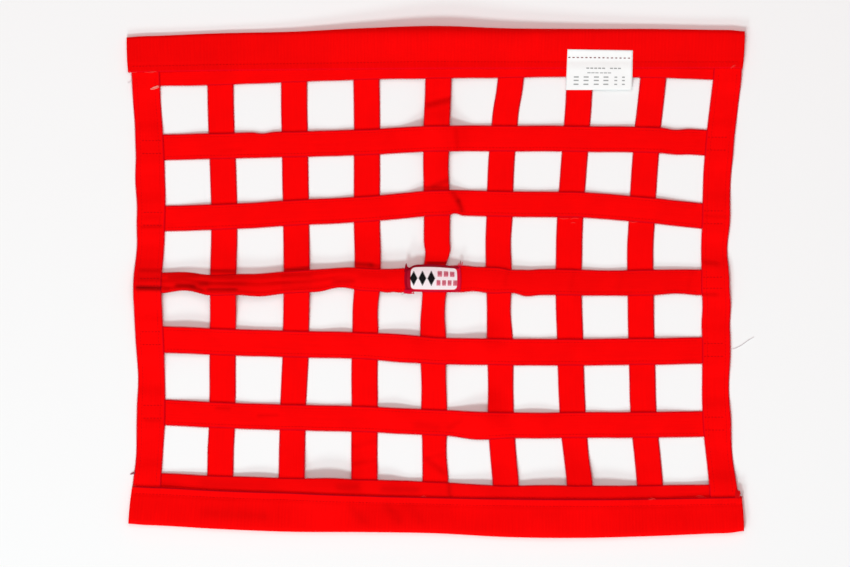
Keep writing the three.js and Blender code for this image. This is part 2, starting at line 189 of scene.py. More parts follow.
# Creases by the strap that they are in, or in all the straps that lie there: both ends in the
# photograph's pixels, reach, fall and shade. The cloth falls on the left hand of that run, by
# its fall in mm over its reach in mm, and its colour is darkened there by its shade, which is
# painted shade.
ALL = "all"
CREASES = {
    ALL: [
        (429, 105.5, 450, 100, 4, 2.2, 0.14), (424, 188, 449, 188, 2.2, 1.2, 0.32),
        (434, 186, 450, 180, 3.4, 1.4, 0.2),
    ],
    "row_1": [(455.5, 130, 457, 147, 3, 0.9, 0.05), (222, 152, 240, 150, 3, 0.5, 0.03)],
    "row_2": [(453, 193.5, 458, 201, 3.2, 1.2, 0.16), (458, 201, 461.5, 210, 2.5, 1, 0.32)],
    "row_3": [
        (404, 284, 440, 288, 3, 0.5, 0), (160, 279, 236, 283, 13, 0, 0.09),
        (236, 283, 310, 280, 12, 0, 0.03), (170, 277.5, 197, 276, 2.4, 0.7, 0.16),
        (178, 285.5, 194, 286, 3, 1.2, 0.36), (162, 287, 168, 288.5, 2.4, 0.6, 0.22),
        (192, 288, 202, 291, 2.2, 0.8, 0.2), (201, 284.5, 207, 284, 3, 0.8, 0.28),
        (212, 277.5, 233, 278, 2.2, 0.6, 0.08), (212, 283.5, 245, 284.5, 1.8, 0.6, 0.08),
        (209, 289.5, 236, 289.5, 1.7, 0.8, 0.42), (272, 284, 290, 283.5, 2.2, 0.6, 0.04),
        (284, 276.5, 310, 276, 3, 0.8, 0.1), (284, 283.5, 310, 283, 2.4, 0.6, 0.08),
        (283, 287.5, 309, 287, 1.8, 0.6, 0.08), (335, 281.5, 352, 281, 3, 1.2, 0.12),
        (362, 275, 384, 277, 4, 0.6, 0.05), (508, 270, 505, 284, 3, 0.6, 0.04),
        (574, 271, 571, 288, 3.5, 0.6, 0.04), (622, 272, 618, 288, 3.5, 0.5, 0.03),
        (692, 272, 688, 286, 3, 0.6, 0.04),
    ],
    "upright_1": [
        (141, 270.5, 162, 271, 2.4, 0.8, 0.2), (140, 280, 160, 279, 6, 0.3, 0.12),
        (140, 276, 162, 276, 12, 0, 0.06), (142, 279.5, 161, 279.5, 1.8, 0.5, 0.06),
        (138, 288, 162, 288.5, 2.4, 1.5, 0.7), (142, 227, 161, 226.5, 1.8, 0.8, 0.16),
        (143, 218, 160, 217, 2, 0.3, 0.03), (146, 420.3, 160, 420.6, 1.8, 0.4, 0.1),
    ],
    "upright_9": [
        (706, 263, 716, 264, 3.5, 1, 0.12), (703, 294.5, 716, 294.5, 2.2, 1, 0.14),
        (704, 216, 727, 217, 2, 0.6, 0.05),
    ],
    "upright_3": [(283, 270.5, 312, 268, 1.8, 0.5, 0.52)],
    "upright_4": [
        (353, 264, 371, 265.5, 2.8, 1, 0.4), (371, 265.5, 383, 267.5, 2.2, 0.6, 0.25),
        (352, 446, 374, 441, 4, 1, 0.04), (353, 464, 375, 460, 3.5, 0.8, 0.04),
    ],
    "upright_2": [(209, 271, 238, 271.5, 1.8, 0.5, 0.46)],
    "upright_5": [
        (427, 460, 443, 472, 4, 0.7, 0.1), (427, 458, 446, 454, 2.5, 0.5, 0.03),
        (428, 263.8, 447, 263.2, 1.7, 0.6, 0.62),
    ],
    "row_5": [
        (217, 408, 229, 408.6, 2, 0.5, 0.14), (259, 415.5, 277, 415, 2, 0.5, 0.1),
        (418, 425, 436, 428, 5, 0.3, 0.08), (450, 427, 460, 421, 4, 0.3, 0.08),
    ],
    "sleeve_foot": [
        (352, 508, 363, 520, 6, 0.4, 0.07), (387, 506, 398, 520, 6, 0.4, 0.08),
        (412, 507, 420, 520, 6, 0.4, 0.05), (205, 513, 262, 516, 6.5, 0.4, 0.08),
    ],
    "border_foot": [
        (205, 484, 262, 486, 6, 0.3, 0.08), (340, 487, 356, 487, 4.5, 0.4, 0.14),
        (384, 489, 416, 490, 4.5, 0.4, 0.14), (449, 484, 449.5, 497, 2.4, 0.8, 0.2),
    ],
}

# How much of its colour a strap keeps where it is duller than the others: painted shade over
# the whole strap
PAINTED_SHADE_TONES = {"border_foot": 0.93, "sleeve_foot": 0.96, "sleeve_top": 0.93, "row_3": 0.95}

# Row 3's own lengthwise pleats at its left
PLEATS_END = -70
PLEATS_FADE = 40
PLEAT_SPACING = 7.2
PLEAT_HEIGHT = 0.45

# Seams
STITCH_PITCH = 3.3
STITCH_LENGTH = 2.5
STITCH_RADIUS = 0.27
ROW_SEAM_INSET = 3.4
SHOWN_INSET = 15  # from an outer upright's middle to where a row's seams show
OUTER_SEAM_INSET = 4.7
SEAM_DEPTH = 0.28
SEAM_HALF_WIDTH = 1.1
BOX_SEAM_INSET = 6.5
BOX_SEAM_DEPTH = 0.3
BOX_SEAM_HALF_WIDTH = 1.2

# The woven patch on the middle crossing, and its white field inside the crimson border
PATCH_X = -3.1
PATCH_Y = 0.4
PATCH_WIDTH = 56
PATCH_HEIGHT = 26.4
PATCH_THICKNESS = 0.8
FIELD_WIDTH = 46
FIELD_HEIGHT = 21.4
FIELD_SHIFT = 0.9  # to the right of the patch's middle
FIELD_ROUNDING = 3.2
FIELD_COLOUR = (0.98, 0.86, 0.89)
RIM_COLOUR = (0.72, 0.003, 0.03)
RIM_BLEND = 0.25
# The rim's left and top keep less of their colour as painted shade
RIM_LEFT_PAINTED_SHADE = 0.62  # the share of its colour that the rim keeps at its left
RIM_TOP_PAINTED_SHADE = 0.42
SATIN_PITCH = 0.5

# The sewn tag's corners, from its upper left round to its lower left
TAG_CORNERS = ((129.4, 229), (193.7, 228), (193.1, 189.1), (127.8, 189.1))
TAG_THICKNESS = 0.35
TAG_DROP = 2.4
TAG_SEAM_SHARE = 0.2
TAG_HEIGHT = 39.5
PRINT_RISE = 0.06

# Webbing surface
SELVEDGE_WIDTH = 1.5
LINE_DEPTH = 0.13
BAR_PITCH = 3.3
BAR_DEPTH = 0.012
CLOUD_SCALE = 34.0
CLOUD_DEPTH = 0.16
WEBBING_RED = 0.97
WEBBING_GREEN = 0.0004
WEBBING_BLUE = 0.0008
SELVEDGE_BLUE = 0.006
SLEEVE_WIDTH = 86

# Mesh steps
STEP = 1.8
SLEEVE_STEP = 1.9
ACROSS_STEP = 2
RIM_COLUMNS = (0, 0.3, 0.9)
RIM_GAP = 0.8
RIM_SHARES = (0.35, 0.8, 0.98)
LOOP_PITCH = 2.7
LOOP_RADIUS = 0.28
LOOP_SIDES = 3
LOOP_POINTS = 5
LOOP_OUT = 0.42
LOOP_OUT_MORE = 0.14  # of every second loop
LOOP_ROOT = 0.5
LOOP_SPREAD = 0.43  # of the pitch, from a loop's middle to its foot
THREAD_SIDES = 4


def ease(t):
    t = np.clip(t, 0, 1)
    return t * t * (3 - 2 * t)


def bump(distance, reach):
    """1 at its middle, 0 at its reach."""
    return (1 + np.cos(np.pi * np.clip(np.abs(distance) / reach, 0, 1))) / 2


def hump(distance, reach):
    """A bell that fades smoothly past its reach."""
    return np.exp(-np.square(distance / reach))


def crossed(*axes):
    """A grid of points, the first axis down it and the second across."""
    return np.meshgrid(*axes, indexing="ij")


def between(a, b, t):
    return a * (1 - t) + b * t


def through_stations(values, t):
    """A smooth value through evenly spaced stations, carried on straight past both ends."""
    v = np.asarray(values, float)
    last = len(v) - 1
    i = np.clip(np.floor(t).astype(int), 0, last - 1)
    f = t - i
    slope_in = (v[i + 1] - v[np.maximum(i - 1, 0)]) / 2
    slope_out = (v[np.minimum(i + 2, last)] - v[i]) / 2
    rise = v[i + 1] - v[i]
    bend = 3 * rise - 2 * slope_in - slope_out
    inner = v[i] + f * (slope_in + f * (bend + f * (slope_in + slope_out - 2 * rise)))
    low = v[0] + t * (v[1] - v[0])
    high = v[last] + (t - last) * (v[last] - v[last - 1])
    return np.where(t <= 0, low, np.where(t >= last, high, inner))


def from_table(places, values, at):
    """An eased value between the places of a table."""
    places = np.asarray(places, float)
    values = np.asarray(values, float)
    i = np.clip(np.searchsorted(places, at, side="right") - 1, 0, len(places) - 2)
    f = (at - places[i]) / (places[i + 1] - places[i])
    return values[i] + (values[i + 1] - values[i]) * ease(f)


def upright_centre(index, y):
    shift = through_stations(UPRIGHT_SHIFTS[index], MIDDLE_ROW - y / PITCH_Y)
    return (index - MIDDLE_UPRIGHT) * PITCH_X + shift


def row_centre(index, x):
    shift = through_stations(ROWS[index].shifts, MIDDLE_UPRIGHT + x / PITCH_X)
    return (MIDDLE_ROW - index) * PITCH_Y + shift


def is_border(index):
    return index in (0, LAST_ROW)


def is_outer(index):
    return index in (0, UPRIGHT_COUNT - 1)


def upright_width(index):
    return OUTER_WIDTH if is_outer(index) else INNER_WIDTH


def row_width(index, x):
    width = ROWS[index].width + 0 * x
    if index != MIDDLE_ROW:
        return width
    return width * (1 - from_table(GATHER_X, GATHER_SHARE, x))


def sleeve_edge(stations, x):
    return through_stations(stations, MIDDLE_UPRIGHT + x / PITCH_X)


def sleeve_droop(sleeve, x):
    left = sleeve.left_droop * bump(x - sleeve.left_fold, DROOP_REACH)
    return left + sleeve.right_droop * bump(sleeve.right_fold - x, DROOP_REACH)


def from_photo(px, py):
    """The place of a pixel of the photograph."""
    return (px - CENTRE_PX) * PIXEL, (CENTRE_PY - py) * PIXEL


def crease_share(x, y, ends, reach):
    """How far off a crease's line a point lies to its left hand, in reaches, and how strong
    the crease is there."""
    x0, y0 = from_photo(*ends[:2])
    x1, y1 = from_photo(*ends[2:])
    length = math.hypot(x1 - x0, y1 - y0)
    run_x = (x1 - x0) / length
    run_y = (y1 - y0) / length
    along = (x - x0) * run_x + (y - y0) * run_y
    aside = ((y - y0) * run_x - (x - x0) * run_y) / reach
    past = np.maximum(np.maximum(-along, along - length), 0)
    return aside, np.exp(-np.square(aside)) * hump(past, reach)


def creased(strap, x, y):
    """The creases' height in one strap, and how much of its colour is left under painted shade."""
    height = 0 * x
    # Painted shade: the strap's whole tone, then each crease's shade
    left = PAINTED_SHADE_TONES.get(strap, 1) + 0 * x
    for *ends, reach, fall, shade in CREASES[ALL] + CREASES.get(strap, []):
        aside, share = crease_share(x, y, ends, reach)
        height = height - fall * aside * share
        left = left * (1 - shade * share)
    return height, left


def pinched(strap, at, share):
    """How far a strap's points move across it where its edges draw in. The place along it is
    in the photograph's pixels, and the share across it runs from -0.5 to 0.5."""
    moved = 0 * share
    for place, reach, high, low in PINCHES.get(strap, ()):
        near = bump((at - place) * PIXEL, reach)
        moved = moved + near * (low * (0.5 - share) - high * (0.5 + share))
    return moved


def lift(x, y):
    """Height of the cloth's underside over the surface, from its folds and swells."""
    from_row = y - row_centre(MIDDLE_ROW, x) + from_table(ACROSS_X, ACROSS_BELOW, x)
    height = from_table(ACROSS_X, ACROSS_TENT, x) * bump(from_row, TENT_REACH)
    height = height + from_table(ACROSS_X, ACROSS_CROWN, x) * bump(from_row, CROWN_REACH)
    reach = from_table(DOWN_Y, DOWN_REACH, y)
    height = height + from_table(DOWN_Y, DOWN_TENT, y) * bump(x, reach)
    for swell_x, swell_y, rise, swell_reach in SWELLS:
        height = height + rise * bump(np.hypot(x - swell_x, y - swell_y), swell_reach)
    return np.maximum(height, 0)


def ground(x, y):
    """Height of the lowest strap: the lift, and the climb on to a sleeve's back leg."""
    top = sleeve_edge(TOP_SLEEVE.raw, x)
    foot = -sleeve_edge(FOOT_SLEEVE.raw, x)
    inside = np.where(y > 0, top, foot) - np.abs(y)
    return lift(x, y) + LAYER * (1 - ease(inside / HEM_RUN))


def row_offset(index, x):
    """How far a row stands over the uprights' layer: level on the inner uprights, dipping
    between them, and down under the outer ones."""
    x = np.asarray(x, float)
    y = row_centre(index, x)
    offset = np.zeros_like(x)
    at = np.clip(x / PITCH_X + MIDDLE_UPRIGHT, 0, UPRIGHT_COUNT - 1)
    left = np.minimum(np.floor(at).astype(int), UPRIGHT_COUNT - 2)
    for i in range(UPRIGHT_COUNT - 1):
        start = upright_centre(i, y) + upright_width(i) / 2 + EDGE_MARGIN
        end = upright_centre(i + 1, y) - upright_width(i + 1) / 2 - EDGE_MARGIN
        f = np.clip((x - start) / (end - start), 0, 1)
        if is_outer(i):
            here = LAYER * ease(f)
        elif is_outer(i + 1):
            here = LAYER * (1 - ease(f))
        else:
            here = LAYER - ROW_SAG * bump(f - 0.5, 0.5)
        offset = np.where(left == i, here, offset)
    return offset


def outer_offset(index, y):
    """How far an outer upright stands over its layer, where it lies on the rows' ends."""
    offset = np.zeros_like(y)
    x = upright_centre(index, y)
    for r in range(len(ROWS)):
        past = np.abs(y - row_centre(r, x)) - row_width(r, x) / 2 - EDGE_MARGIN
        if is_border(r):
            past = np.where(np.abs(y) > np.abs(row_centre(r, x)), 0, past)
        offset = np.maximum(offset, LAYER * (1 - ease(past / DROP_RUN)))
    return offset


def ripple(seed, t, height):
    """A slow unevenness along a strap, its own for each seed."""
    phase = 2.4 * seed
    waves = np.sin(t / 23 + phase) + 0.7 * np.sin(t / 11.3 + 1.7 * phase)
    return height * (waves + 0.45 * np.sin(t / 5.9 + 2.9 * phase)) / 2


def columns_across(width):
    """Places across a strap from -0.5 to 0.5 of its width, closer together at its selvedges."""
    inset = RIM_COLUMNS[-1] + RIM_GAP
    inner = np.linspace(inset, width - inset, int(width / ACROSS_STEP))
    rim = np.array(RIM_COLUMNS)
    return np.concatenate([rim, inner, (width - rim)[::-1]]) / width - 0.5


def half_thickness(count, thickness):
    """Half the cloth's thickness at each column, drawn in at the selvedges."""
    shares = np.ones(count)
    shares[: len(RIM_SHARES)] = RIM_SHARES
    shares[-len(RIM_SHARES):] = RIM_SHARES[::-1]
    return shares * thickness / 2


def unit(vectors):
    return vectors / np.linalg.norm(vectors, axis=-1, keepdims=True)


def surface_normals(points):
    return unit(np.cross(np.gradient(points, axis=0), np.gradient(points, axis=1)))


def upper_face(middle, thickness):
    """A sheet's upper face, from its middle surface."""
    normal = surface_normals(middle)
    return middle + normal * np.sign(normal[..., 2:3]) * thickness / 2


def arc_lengths(points):
    steps = np.linalg.norm(np.diff(points, axis=0), axis=-1)
    return np.concatenate([[0], np.cumsum(steps)])


def along_line(at, arc, points):
    """Points at some lengths along a line of points."""
    return np.stack([np.interp(at, arc, points[:, k]) for k in range(3)], axis=-1)


def middle_lengths(middle):
    """Lengths across a sheet and along it, on its two middle lines."""
    rows, columns = middle.shape[:2]
    return arc_lengths(middle[rows // 2]), arc_lengths(middle[:, columns // 2])


def grid_faces(rows, columns, start=0):
    i, j = crossed(np.arange(rows - 1), np.arange(columns - 1))
    a = (start + i * columns + j).ravel()
    return np.stack([a, a + columns, a + columns + 1, a + 1], axis=1)


def sheet_geometry(middle, half, width):
    """Vertices, faces and UVs of a closed sheet about its middle surface. UVs are metres
    from the middle: across the cloth, out to half its cut width, and along it."""
    rows, columns = middle.shape[:2]
    offset = surface_normals(middle) * half[None, :, None]
    skin = rows * columns
    i = np.arange(rows - 1) * columns
    j = np.arange(columns - 1)
    far = skin - columns
    last = columns - 1
    edges = [
        (i, i + skin, columns), (i + last, i + last + columns, skin),
        (j, j + 1, skin), (j + far, j + far + skin, 1),
    ]
    sides = [np.stack([a, b, b + step, a + step], axis=1) for a, b, step in edges]
    vertices = np.concatenate([middle + offset, middle - offset]).reshape(-1, 3)
    under = grid_faces(rows, columns, skin)[:, ::-1]
    across, along = middle_lengths(middle)
    across = (across / across[-1] - 0.5) * width
    uv = np.stack(np.meshgrid(across, along - along[-1] / 2), axis=-1).reshape(-1, 2) * MM
    faces = np.concatenate([grid_faces(rows, columns), under, *sides])
    return vertices, faces, np.concatenate([uv, uv])


def loops_geometry(middle):
    """The weft loops that stand out along both selvedges of a strap."""
    geometry = []
    turn = np.linspace(0, math.pi, LOOP_POINTS)[:, None]
    angle = 2 * math.pi * np.arange(LOOP_SIDES) / LOOP_SIDES
    for edge, further_in in ((middle[:, 0], middle[:, 2]), (middle[:, -1], middle[:, -3])):
        arc = arc_lengths(edge)
        at = np.arange(LOOP_PITCH / 2, arc[-1], LOOP_PITCH)
        spot = along_line(at, arc, edge)
        inwards = along_line(at, arc, unit(further_in - edge))
        run = unit(np.gradient(spot, axis=0))
        up = unit(np.cross(run, inwards))
        out = LOOP_OUT + LOOP_OUT_MORE * (np.arange(len(at)) % 2)
        across = LOOP_ROOT - (LOOP_ROOT + out[:, None, None]) * np.sin(turn)
        lengthwise = -LOOP_SPREAD * LOOP_PITCH * np.cos(turn)
        centre = spot[:, None] + inwards[:, None] * across + run[:, None] * lengthwise
        radial = -inwards[:, None] * np.sin(turn) - run[:, None] * np.cos(turn)
        geometry.append(tubes(centre, radial, up[:, None], LOOP_RADIUS, angle))
    return joined(geometry)


def tubes(centre, side, up, radius, angles):
    """Vertices and faces of many short open tubes round rows of centre points."""
    sideways = side[..., None, :] * np.cos(angles)[:, None]
    upwards = up[..., None, :] * np.sin(angles)[:, None]
    vertices = centre[:, :, None] + radius * (sideways + upwards)
    count, points = centre.shape[:2]
    sides = len(angles)
    n, i, s = crossed(np.arange(count), np.arange(points - 1), np.arange(sides))
    base = (n * points + i) * sides
    after = (s + 1) % sides
    quads = [base + s, base + after, base + after + sides, base + s + sides]
    return vertices.reshape(-1, 3), np.stack([q.ravel() for q in quads], axis=1)


def joined(parts):
    """One list of vertices and one of faces from several."""
    start = 0
    vertices = []
    faces = []
    for points, quads in parts:
        vertices.append(points)
        faces.append(quads + start)
        start += len(points)
    return np.concatenate(vertices), np.concatenate(faces)


def make_object(name, vertices, faces, uv=None, materials=(), smooth=True, painted_shade_left=None):
    """A mesh object in metres. A share per vertex darkens its cloth's colour as painted shade."""
    mesh = bpy.data.meshes.new(name)
    mesh.from_pydata((np.asarray(vertices) * MM).tolist(), [], np.asarray(faces).tolist())
    if uv is not None:
        corner = np.zeros(len(mesh.loops), np.int32)
        mesh.loops.foreach_get("vertex_index", corner)
        layer = mesh.uv_layers.new(name="cloth")
        layer.data.foreach_set("uv", uv[corner].astype(np.float32).ravel())
    if painted_shade_left is not None:
        left = mesh.attributes.new("painted shade left", "FLOAT", "POINT")
        left.data.foreach_set("value", np.asarray(painted_shade_left, np.float32))
    for material in materials:
        mesh.materials.append(material)
    mesh.polygons.foreach_set("use_smooth", np.full(len(mesh.polygons), smooth))
    mesh.update()
    thing = bpy.data.objects.new(name, mesh)
    bpy.context.scene.collection.objects.link(thing)
    return thing


Cloth = namedtuple("Cloth", "material width loops")


def make_trim(name, geometry, material):
    """Thin trim that lies on the net and takes its finish from a slot."""
    trim = make_object(name, *geometry, materials=[material])
    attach(trim, "root")
    return trim


def make_cloth(name, node, middle, thickness, width, material, painted_shade_left=None):
    """A closed cloth sheet in place of its node, from its middle surface."""
    half = half_thickness(middle.shape[1], thickness)
    vertices, faces, uv = sheet_geometry(middle, half, width)
    cloth = make_object(name, vertices, faces, uv, [material], painted_shade_left=painted_shade_left)
    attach(cloth, "root")
    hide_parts(node)
    return cloth


def make_strap(node, middle, cloth):
    """A webbing strap with its looped selvedges."""
    # The share of its colour that each point keeps under painted shade, for both faces
    left = creased(node, middle[..., 0], middle[..., 1])[1].ravel()
    name = f"{node}_webbing"
    material = cloth.material
    painted_shade_left = np.tile(left, 2)
    strap = make_cloth(name, node, middle, THICKNESS, cloth.width, material, painted_shade_left)
    loops = make_trim(f"{node}_selvedges", loops_geometry(middle), cloth.loops)


def seam_trough(lateral, inset, width):
    """The shallow trough that two lengthwise seams pull into a strap."""
    return -SEAM_DEPTH * hump(np.abs(lateral) - (width / 2 - inset), SEAM_HALF_WIDTH)


def resting(x, y, z):
    """The points of a strap's middle surface, none of them lower than the floor lets it lie."""
    return np.stack([x, y, np.maximum(z, THICKNESS / 2 + FLOOR_GAP)], axis=-1)


def upright_middle(index):
    grid_x = np.array((index - MIDDLE_UPRIGHT) * PITCH_X, float)
    foot_end = float(sleeve_edge(FOOT_SLEEVE.raw, grid_x)) - SEAM_INSET - END_PAST_SEAM
    top_end = float(sleeve_edge(TOP_SLEEVE.raw, grid_x)) + SEAM_INSET + END_PAST_SEAM
    width = upright_width(index)
    y = np.linspace(foot_end, top_end, int((top_end - foot_end) / STEP))
    y, share = crossed(y, columns_across(width))
    lateral = share * width
    strap = f"upright_{index + 1}"
    x = upright_centre(index, y) + lateral + ripple(index, y, 0.22)
    x = x + pinched(strap, CENTRE_PY - y / PIXEL, share)
    z = ground(x, y) + SEAT + ripple(index + 20, y, 0.12)
    z = z + creased(strap, x, y)[0]
    if is_outer(index):
        z = z + outer_offset(index, y) + seam_trough(lateral, OUTER_SEAM_INSET, width)
        depth = BOX_SEAM_DEPTH * bump(lateral, width / 2)
        for seam in box_seams(index):
            z = z - depth * hump(y - seam, BOX_SEAM_HALF_WIDTH)
    return resting(x, y, z)


def box_seams(index):
    """Where the seams across an outer upright lie, near the lower and upper edges of the rows."""
    x = np.array((index - MIDDLE_UPRIGHT) * PITCH_X, float)
    seams = []
    for row in range(1, LAST_ROW):
        aside = row_width(row, x) / 2 - BOX_SEAM_INSET
        seams += [float(row_centre(row, x) + side * aside) for side in (-1, 1)]
    return seams


def row_middle(index):
    row = ROWS[index]
    even_y = (MIDDLE_ROW - index) * PITCH_Y
    reach = OUTER_WIDTH / 2 - ROW_END_INSET
    left = float(upright_centre(0, even_y)) - reach
    right = float(upright_centre(UPRIGHT_COUNT - 1, even_y)) + reach
    x = np.linspace(left, right, int((right - left) / STEP))
    x, share = crossed(x, columns_across(row.width))
    width = row_width(index, x)
    y = row_centre(index, x) + share * width + ripple(index + 40, x, 0.25)
    y = y + pinched(row.node, CENTRE_PX + x / PIXEL, share)
    z = ground(x, y) + row_offset(index, x) + SEAT + ripple(index + 60, x, 0.15)
    z = z + creased(row.node, x, y)[0]
    if not is_border(index):
        z = z + seam_trough(share * width, ROW_SEAM_INSET, width)
    if index == MIDDLE_ROW:
        fading = ease((PLEATS_END - x) / PLEATS_FADE)
        wave = np.cos(2 * math.pi * (share * width + 1.2) / PLEAT_SPACING + 0.5 * np.sin(x / 31))
        z = z + PLEAT_HEIGHT * fading * wave
    return resting(x, y, z)


def front_leg_under(sleeve, x, inset, depth):
    """Height of the front leg's underside over the lift, at an inset from the fold."""
    inside = sleeve_edge(sleeve.inside, x)
    outer_radius = inside / 2 + THICKNESS
    seam = depth - SEAM_INSET
    to_seam = ease((inset - outer_radius) / (seam - outer_radius))
    height = (THICKNESS + inside) * (1 - to_seam) + 3 * LAYER * to_seam
    row = 0 if sleeve is TOP_SLEEVE else LAST_ROW
    inner = np.abs(x) < (MIDDLE_UPRIGHT - 1) * PITCH_X
    sag = np.where(inner, LAYER - row_offset(row, x), 0) * ease((inset - seam + 12) / 12)
    edge_lift = sleeve.edge_lift * ease((inset - seam - 1.5) / (SEAM_INSET - 1.5))
    trough = sleeve.seam_pull * hump(inset - seam, 1.6)
    wrinkle = ripple(71 + row, x, 0.35) * bump(inset - seam / 2, seam / 2)
    return height + wrinkle + edge_lift - trough - sag


def sleeve_section(sleeve, x, depth, share):
    """Inset from the fold and height of a sleeve's middle surface, by the share of the way
    from its back raw edge round the fold to its front raw edge."""
    inside = sleeve_edge(sleeve.inside, x)
    outer_radius = inside / 2 + THICKNESS
    radius = (inside + THICKNESS) / 2
    back_run = depth - outer_radius
    arc_run = math.pi * radius
    at = share * (2 * back_run + arc_run)
    on_back = at < back_run
    on_arc = at < back_run + arc_run
    angle = np.clip((at - back_run) / radius, 0, math.pi) - math.pi / 2
    front_inset = outer_radius + np.maximum(at - back_run - arc_run, 0)
    front = front_leg_under(sleeve, x, front_inset, depth) + THICKNESS / 2
    arc_inset = outer_radius - radius * np.cos(angle)
    crest_shift = (front - outer_radius - radius) * ease((angle + math.pi / 2) / math.pi)
    arc_height = outer_radius + radius * np.sin(angle) + crest_shift
    inset = np.where(on_back, depth - at, np.where(on_arc, arc_inset, front_inset))
    height = np.where(on_back, THICKNESS / 2, np.where(on_arc, arc_height, front))
    return inset, height


def sleeve_middle(sleeve):
    count = int((sleeve.right_fold - sleeve.left_fold) / SLEEVE_STEP)
    u = np.linspace(0, 1, count)
    share = np.concatenate([
        np.linspace(0, 0.38, 16)[:-1],
        np.linspace(0.38, 0.62, 20)[:-1],
        np.linspace(0.62, 0.985, 22)[:-1],
        np.array([0.985, 0.9925, 0.9965, 1.0]),
    ])
    u, share = crossed(u, share)
    inward = -np.sign(sleeve.fold[0])
    fold_x = sleeve.left_fold + (sleeve.right_fold - sleeve.left_fold) * u
    raw_x = sleeve.left_raw + (sleeve.right_raw - sleeve.left_raw) * u
    raw = sleeve_edge(sleeve.raw, fold_x)
    fold = sleeve_edge(sleeve.fold, fold_x) + inward * sleeve_droop(sleeve, fold_x)
    depth = np.abs(fold - raw)
    inset, height = sleeve_section(sleeve, fold_x, depth, share)
    t = inset / depth
    bulge = END_BULGE * 4 * t * (1 - t) * (2 * u - 1) ** 15
    x = fold_x + (raw_x - fold_x) * t + bulge
    y = fold + inward * inset
    front = share > 0.6
    z = lift(x, y) + height + FLOOR_GAP + np.where(front, creased(sleeve.node, x, y)[0], 0)
    return np.stack([x, y, z], axis=-1)


def patch_middle():
    u, v = crossed(columns_across(PATCH_WIDTH), columns_across(PATCH_HEIGHT))
    corner = 1 - 0.05 * np.square(2 * u) * np.square(2 * v)
    x = PATCH_X + u * PATCH_WIDTH * corner
    centre = row_centre(MIDDLE_ROW, x) + PATCH_Y
    arch = 1.1 * bump(u + 0.05, 0.55) - 0.6 - 3.4 * ease((-0.3 - u) / 0.2)
    y = centre + v * PATCH_HEIGHT * corner + arch * (v > 0) * 2 * v
    height = ground(x, y) + row_offset(MIDDLE_ROW, x) + LAYER + PATCH_THICKNESS / 2
    curl = 1.2 * ease((-0.36 - u) / 0.14) + 0.4 * np.square(2 * u) * np.square(2 * v)
    return np.stack([x, y, height + curl], axis=-1)


def tag_middle(columns=30, rows=26):
    u, v = crossed(np.linspace(0, 1, columns), np.linspace(0, 1, rows))
    upper_left, upper_right, lower_right, lower_left = [np.array(c) for c in TAG_CORNERS]
    u = u[..., None]
    v = v[..., None]
    top = between(upper_left, upper_right, u)
    place = between(top, between(lower_left, lower_right, u), v)
    x = place[..., 0]
    y = place[..., 1]
    raw = sleeve_edge(TOP_SLEEVE.raw, x)
    fold = sleeve_edge(TOP_SLEEVE.fold, x)
    leg = front_leg_under(TOP_SLEEVE, x, fold - np.maximum(y, raw), fold - raw) + THICKNESS
    hang = np.clip((raw - y) / (raw - TAG_CORNERS[2][1]), 0, 1)
    wave = 0.25 * np.sin(x / 9 + y / 14) * (0.4 + hang)
    z = lift(x, y) + leg + 0.45 - TAG_DROP * hang + wave
    return np.stack([x, y, z], axis=-1)


def on_sheet(middle, thickness, u, v):
    """A point on a sheet's upper face, at shares of the way along and across it."""
    upper = upper_face(middle, thickness)
    rows, columns = middle.shape[:2]
    i = np.clip(u, 0, 1) * (rows - 1)
    j = np.clip(v, 0, 1) * (columns - 1)
    i0 = np.minimum(i.astype(int), rows - 2)
    j0 = np.minimum(j.astype(int), columns - 2)
    f = (i - i0)[..., None]
    g = (j - j0)[..., None]
    low = between(upper[i0, j0], upper[i0, j0 + 1], g)
    return between(low, between(upper[i0 + 1, j0], upper[i0 + 1, j0 + 1], g), f)


def seam_points(middle, share):
    """The line on a strap's upper face at a share of the way across it."""
    columns = middle_lengths(middle)[0]
    at = share * columns[-1]
    j = int(np.clip(np.searchsorted(columns, at) - 1, 0, len(columns) - 2))
    f = (at - columns[j]) / (columns[j + 1] - columns[j])
    surface = upper_face(middle, THICKNESS)
    return between(surface[:, j], surface[:, j + 1], f)


def thread_tubes(centre, run, radius, girth):
    """Short threads, each through a few centre points, as thick at each as its girth says."""
    side = unit(np.cross(run, np.array([0, 0, 1.0])))
    up = np.cross(side, run)
    angle = 2 * math.pi * (np.arange(THREAD_SIDES) + 0.5) / THREAD_SIDES
    radii = radius * np.array(girth)[None, :, None, None]
    return tubes(centre, side[:, None], up[:, None], radii, angle)


def stitches_along(path, pitch=STITCH_PITCH, length=STITCH_LENGTH, radius=STITCH_RADIUS):
    """Short thread humps along a line of points."""
    arc = arc_lengths(path)
    at = np.arange(pitch / 2, arc[-1] - pitch / 2, pitch)
    spot = along_line(at, arc, path)
    run = unit(along_line(at + 0.5, arc, path) - spot)
    shares = np.array([-0.5, -0.32, 0, 0.32, 0.5])
    centre = spot[:, None] + run[:, None] * (shares * length)[None, :, None]
    centre[..., 2] += np.array([-0.3, 0.1, 0.2, 0.1, -0.3])
    return thread_tubes(centre, run, radius, (0.35, 0.85, 1, 0.85, 0.35))


def new_material(name, roughness, specular):
    """A new material and its nodes, with the shader's gloss set."""
    material = bpy.data.materials.new(name)
    material.use_nodes = True
    nodes = material.node_tree.nodes
    shader = nodes["Principled BSDF"]
    shader.inputs["Roughness"].default_value = roughness
    shader.inputs["Specular IOR Level"].default_value = specular
    return material, nodes


